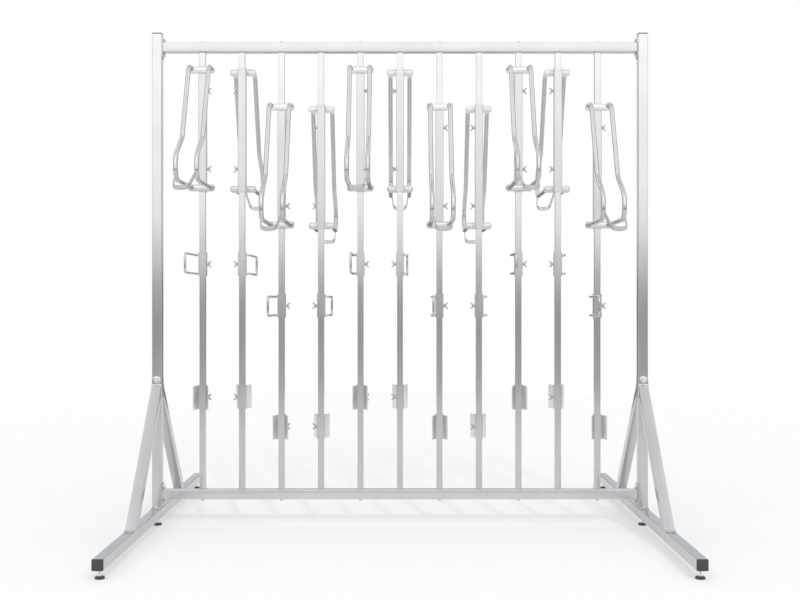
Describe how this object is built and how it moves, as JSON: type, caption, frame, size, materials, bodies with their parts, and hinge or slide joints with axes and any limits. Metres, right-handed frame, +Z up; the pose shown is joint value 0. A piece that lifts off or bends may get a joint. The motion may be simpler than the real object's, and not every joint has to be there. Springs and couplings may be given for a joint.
{
  "type": "vertical bike rack",
  "caption": "Free-standing steel rack whose upright posts carry sliding wheel holders at staggered heights, facing front and back in turn, on foot tubes with levelling feet.",
  "frame": {"origin": "on the ground, under the middle of the rack", "axes": "+X along the rack to the right, +Y to the back, +Z up"},
  "size_m": [2.09, 1.87, 2.068],
  "materials": {
    "zinc_tube": "satin, zinc-plated",
    "bright_bar": "bright, zinc-plated",
    "black_plastic": "moulded, matt"
  },
  "bodies": {
    "frame": {"end_post_left": "zinc_tube", "brace_front_left": "zinc_tube", "brace_rear_left": "zinc_tube", "foot_tube_left": "zinc_tube", "end_post_right": "zinc_tube", "brace_front_right": "zinc_tube", "brace_rear_right": "zinc_tube", "foot_tube_right": "zinc_tube", "top_rail": "zinc_tube", "bottom_rail": "zinc_tube", "post_01": "zinc_tube", "post_02": "zinc_tube", "post_03": "zinc_tube", "post_04": "zinc_tube", "post_05": "zinc_tube", "post_06": "zinc_tube", "post_07": "zinc_tube", "post_08": "zinc_tube", "post_09": "zinc_tube", "post_10": "zinc_tube", "post_11": "zinc_tube"},
    "levelling_foot_front_left": {"levelling_foot_front_left": "black_plastic"},
    "levelling_foot_middle_left": {"levelling_foot_middle_left": "black_plastic"},
    "levelling_foot_rear_left": {"levelling_foot_rear_left": "black_plastic"},
    "levelling_foot_front_right": {"levelling_foot_front_right": "black_plastic"},
    "levelling_foot_middle_right": {"levelling_foot_middle_right": "black_plastic"},
    "levelling_foot_rear_right": {"levelling_foot_rear_right": "black_plastic"},
    "wheel_holder_01": {"wheel_holder_01": "bright_bar"},
    "lock_loop_01": {"lock_loop_01": "zinc_tube"},
    "tyre_plate_01": {"tyre_plate_01": "zinc_tube"},
    "wheel_holder_02": {"wheel_holder_02": "bright_bar"},
    "lock_loop_02": {"lock_loop_02": "zinc_tube"},
    "tyre_plate_02": {"tyre_plate_02": "zinc_tube"},
    "wheel_holder_03": {"wheel_holder_03": "bright_bar"},
    "lock_loop_03": {"lock_loop_03": "zinc_tube"},
    "tyre_plate_03": {"tyre_plate_03": "zinc_tube"},
    "wheel_holder_04": {"wheel_holder_04": "bright_bar"},
    "lock_loop_04": {"lock_loop_04": "zinc_tube"},
    "tyre_plate_04": {"tyre_plate_04": "zinc_tube"},
    "wheel_holder_05": {"wheel_holder_05": "bright_bar"},
    "lock_loop_05": {"lock_loop_05": "zinc_tube"},
    "tyre_plate_05": {"tyre_plate_05": "zinc_tube"},
    "wheel_holder_06": {"wheel_holder_06": "bright_bar"},
    "lock_loop_06": {"lock_loop_06": "zinc_tube"},
    "tyre_plate_06": {"tyre_plate_06": "zinc_tube"},
    "wheel_holder_07": {"wheel_holder_07": "bright_bar"},
    "lock_loop_07": {"lock_loop_07": "zinc_tube"},
    "tyre_plate_07": {"tyre_plate_07": "zinc_tube"},
    "wheel_holder_08": {"wheel_holder_08": "bright_bar"},
    "lock_loop_08": {"lock_loop_08": "zinc_tube"},
    "tyre_plate_08": {"tyre_plate_08": "zinc_tube"},
    "wheel_holder_09": {"wheel_holder_09": "bright_bar"},
    "lock_loop_09": {"lock_loop_09": "zinc_tube"},
    "tyre_plate_09": {"tyre_plate_09": "zinc_tube"},
    "wheel_holder_10": {"wheel_holder_10": "bright_bar"},
    "lock_loop_10": {"lock_loop_10": "zinc_tube"},
    "tyre_plate_10": {"tyre_plate_10": "zinc_tube"},
    "wheel_holder_11": {"wheel_holder_11": "bright_bar"},
    "lock_loop_11": {"lock_loop_11": "zinc_tube"},
    "tyre_plate_11": {"tyre_plate_11": "zinc_tube"}
  },
  "joints": [
    {"name": "levelling_foot_front_left_screw", "type": "slide", "parent": "frame", "child": "levelling_foot_front_left", "axis": [0, 0, 1], "range_m": [-0.012, 0.008]},
    {"name": "levelling_foot_middle_left_screw", "type": "slide", "parent": "frame", "child": "levelling_foot_middle_left", "axis": [0, 0, 1], "range_m": [-0.012, 0.008]},
    {"name": "levelling_foot_rear_left_screw", "type": "slide", "parent": "frame", "child": "levelling_foot_rear_left", "axis": [0, 0, 1], "range_m": [-0.012, 0.008]},
    {"name": "levelling_foot_front_right_screw", "type": "slide", "parent": "frame", "child": "levelling_foot_front_right", "axis": [0, 0, 1], "range_m": [-0.012, 0.008]},
    {"name": "levelling_foot_middle_right_screw", "type": "slide", "parent": "frame", "child": "levelling_foot_middle_right", "axis": [0, 0, 1], "range_m": [-0.012, 0.008]},
    {"name": "levelling_foot_rear_right_screw", "type": "slide", "parent": "frame", "child": "levelling_foot_rear_right", "axis": [0, 0, 1], "range_m": [-0.012, 0.008]},
    {"name": "wheel_holder_01_slide", "type": "slide", "parent": "frame", "child": "wheel_holder_01", "axis": [0, 0, 1], "range_m": [-0.1, 0.055]},
    {"name": "lock_loop_01_slide", "type": "slide", "parent": "frame", "child": "lock_loop_01", "axis": [0, 0, 1], "range_m": [-0.2, 0.1]},
    {"name": "tyre_plate_01_slide", "type": "slide", "parent": "frame", "child": "tyre_plate_01", "axis": [0, 0, 1], "range_m": [-0.3, 0.2]},
    {"name": "wheel_holder_02_slide", "type": "slide", "parent": "frame", "child": "wheel_holder_02", "axis": [0, 0, 1], "range_m": [-0.1, 0.055]},
    {"name": "lock_loop_02_slide", "type": "slide", "parent": "frame", "child": "lock_loop_02", "axis": [0, 0, 1], "range_m": [-0.2, 0.1]},
    {"name": "tyre_plate_02_slide", "type": "slide", "parent": "frame", "child": "tyre_plate_02", "axis": [0, 0, 1], "range_m": [-0.3, 0.2]},
    {"name": "wheel_holder_03_slide", "type": "slide", "parent": "frame", "child": "wheel_holder_03", "axis": [0, 0, 1], "range_m": [-0.1, 0.2]},
    {"name": "lock_loop_03_slide", "type": "slide", "parent": "frame", "child": "lock_loop_03", "axis": [0, 0, 1], "range_m": [-0.2, 0.1]},
    {"name": "tyre_plate_03_slide", "type": "slide", "parent": "frame", "child": "tyre_plate_03", "axis": [0, 0, 1], "range_m": [-0.2, 0.15]},
    {"name": "wheel_holder_04_slide", "type": "slide", "parent": "frame", "child": "wheel_holder_04", "axis": [0, 0, 1], "range_m": [-0.1, 0.2]},
    {"name": "lock_loop_04_slide", "type": "slide", "parent": "frame", "child": "lock_loop_04", "axis": [0, 0, 1], "range_m": [-0.2, 0.1]},
    {"name": "tyre_plate_04_slide", "type": "slide", "parent": "frame", "child": "tyre_plate_04", "axis": [0, 0, 1], "range_m": [-0.2, 0.15]},
    {"name": "wheel_holder_05_slide", "type": "slide", "parent": "frame", "child": "wheel_holder_05", "axis": [0, 0, 1], "range_m": [-0.1, 0.055]},
    {"name": "lock_loop_05_slide", "type": "slide", "parent": "frame", "child": "lock_loop_05", "axis": [0, 0, 1], "range_m": [-0.2, 0.1]},
    {"name": "tyre_plate_05_slide", "type": "slide", "parent": "frame", "child": "tyre_plate_05", "axis": [0, 0, 1], "range_m": [-0.3, 0.2]},
    {"name": "wheel_holder_06_slide", "type": "slide", "parent": "frame", "child": "wheel_holder_06", "axis": [0, 0, 1], "range_m": [-0.1, 0.055]},
    {"name": "lock_loop_06_slide", "type": "slide", "parent": "frame", "child": "lock_loop_06", "axis": [0, 0, 1], "range_m": [-0.2, 0.1]},
    {"name": "tyre_plate_06_slide", "type": "slide", "parent": "frame", "child": "tyre_plate_06", "axis": [0, 0, 1], "range_m": [-0.3, 0.2]},
    {"name": "wheel_holder_07_slide", "type": "slide", "parent": "frame", "child": "wheel_holder_07", "axis": [0, 0, 1], "range_m": [-0.1, 0.2]},
    {"name": "lock_loop_07_slide", "type": "slide", "parent": "frame", "child": "lock_loop_07", "axis": [0, 0, 1], "range_m": [-0.2, 0.1]},
    {"name": "tyre_plate_07_slide", "type": "slide", "parent": "frame", "child": "tyre_plate_07", "axis": [0, 0, 1], "range_m": [-0.2, 0.15]},
    {"name": "wheel_holder_08_slide", "type": "slide", "parent": "frame", "child": "wheel_holder_08", "axis": [0, 0, 1], "range_m": [-0.1, 0.2]},
    {"name": "lock_loop_08_slide", "type": "slide", "parent": "frame", "child": "lock_loop_08", "axis": [0, 0, 1], "range_m": [-0.2, 0.1]},
    {"name": "tyre_plate_08_slide", "type": "slide", "parent": "frame", "child": "tyre_plate_08", "axis": [0, 0, 1], "range_m": [-0.2, 0.15]},
    {"name": "wheel_holder_09_slide", "type": "slide", "parent": "frame", "child": "wheel_holder_09", "axis": [0, 0, 1], "range_m": [-0.1, 0.055]},
    {"name": "lock_loop_09_slide", "type": "slide", "parent": "frame", "child": "lock_loop_09", "axis": [0, 0, 1], "range_m": [-0.2, 0.1]},
    {"name": "tyre_plate_09_slide", "type": "slide", "parent": "frame", "child": "tyre_plate_09", "axis": [0, 0, 1], "range_m": [-0.3, 0.2]},
    {"name": "wheel_holder_10_slide", "type": "slide", "parent": "frame", "child": "wheel_holder_10", "axis": [0, 0, 1], "range_m": [-0.1, 0.055]},
    {"name": "lock_loop_10_slide", "type": "slide", "parent": "frame", "child": "lock_loop_10", "axis": [0, 0, 1], "range_m": [-0.2, 0.1]},
    {"name": "tyre_plate_10_slide", "type": "slide", "parent": "frame", "child": "tyre_plate_10", "axis": [0, 0, 1], "range_m": [-0.3, 0.2]},
    {"name": "wheel_holder_11_slide", "type": "slide", "parent": "frame", "child": "wheel_holder_11", "axis": [0, 0, 1], "range_m": [-0.1, 0.2]},
    {"name": "lock_loop_11_slide", "type": "slide", "parent": "frame", "child": "lock_loop_11", "axis": [0, 0, 1], "range_m": [-0.2, 0.1]},
    {"name": "tyre_plate_11_slide", "type": "slide", "parent": "frame", "child": "tyre_plate_11", "axis": [0, 0, 1], "range_m": [-0.2, 0.15]}
  ]
}
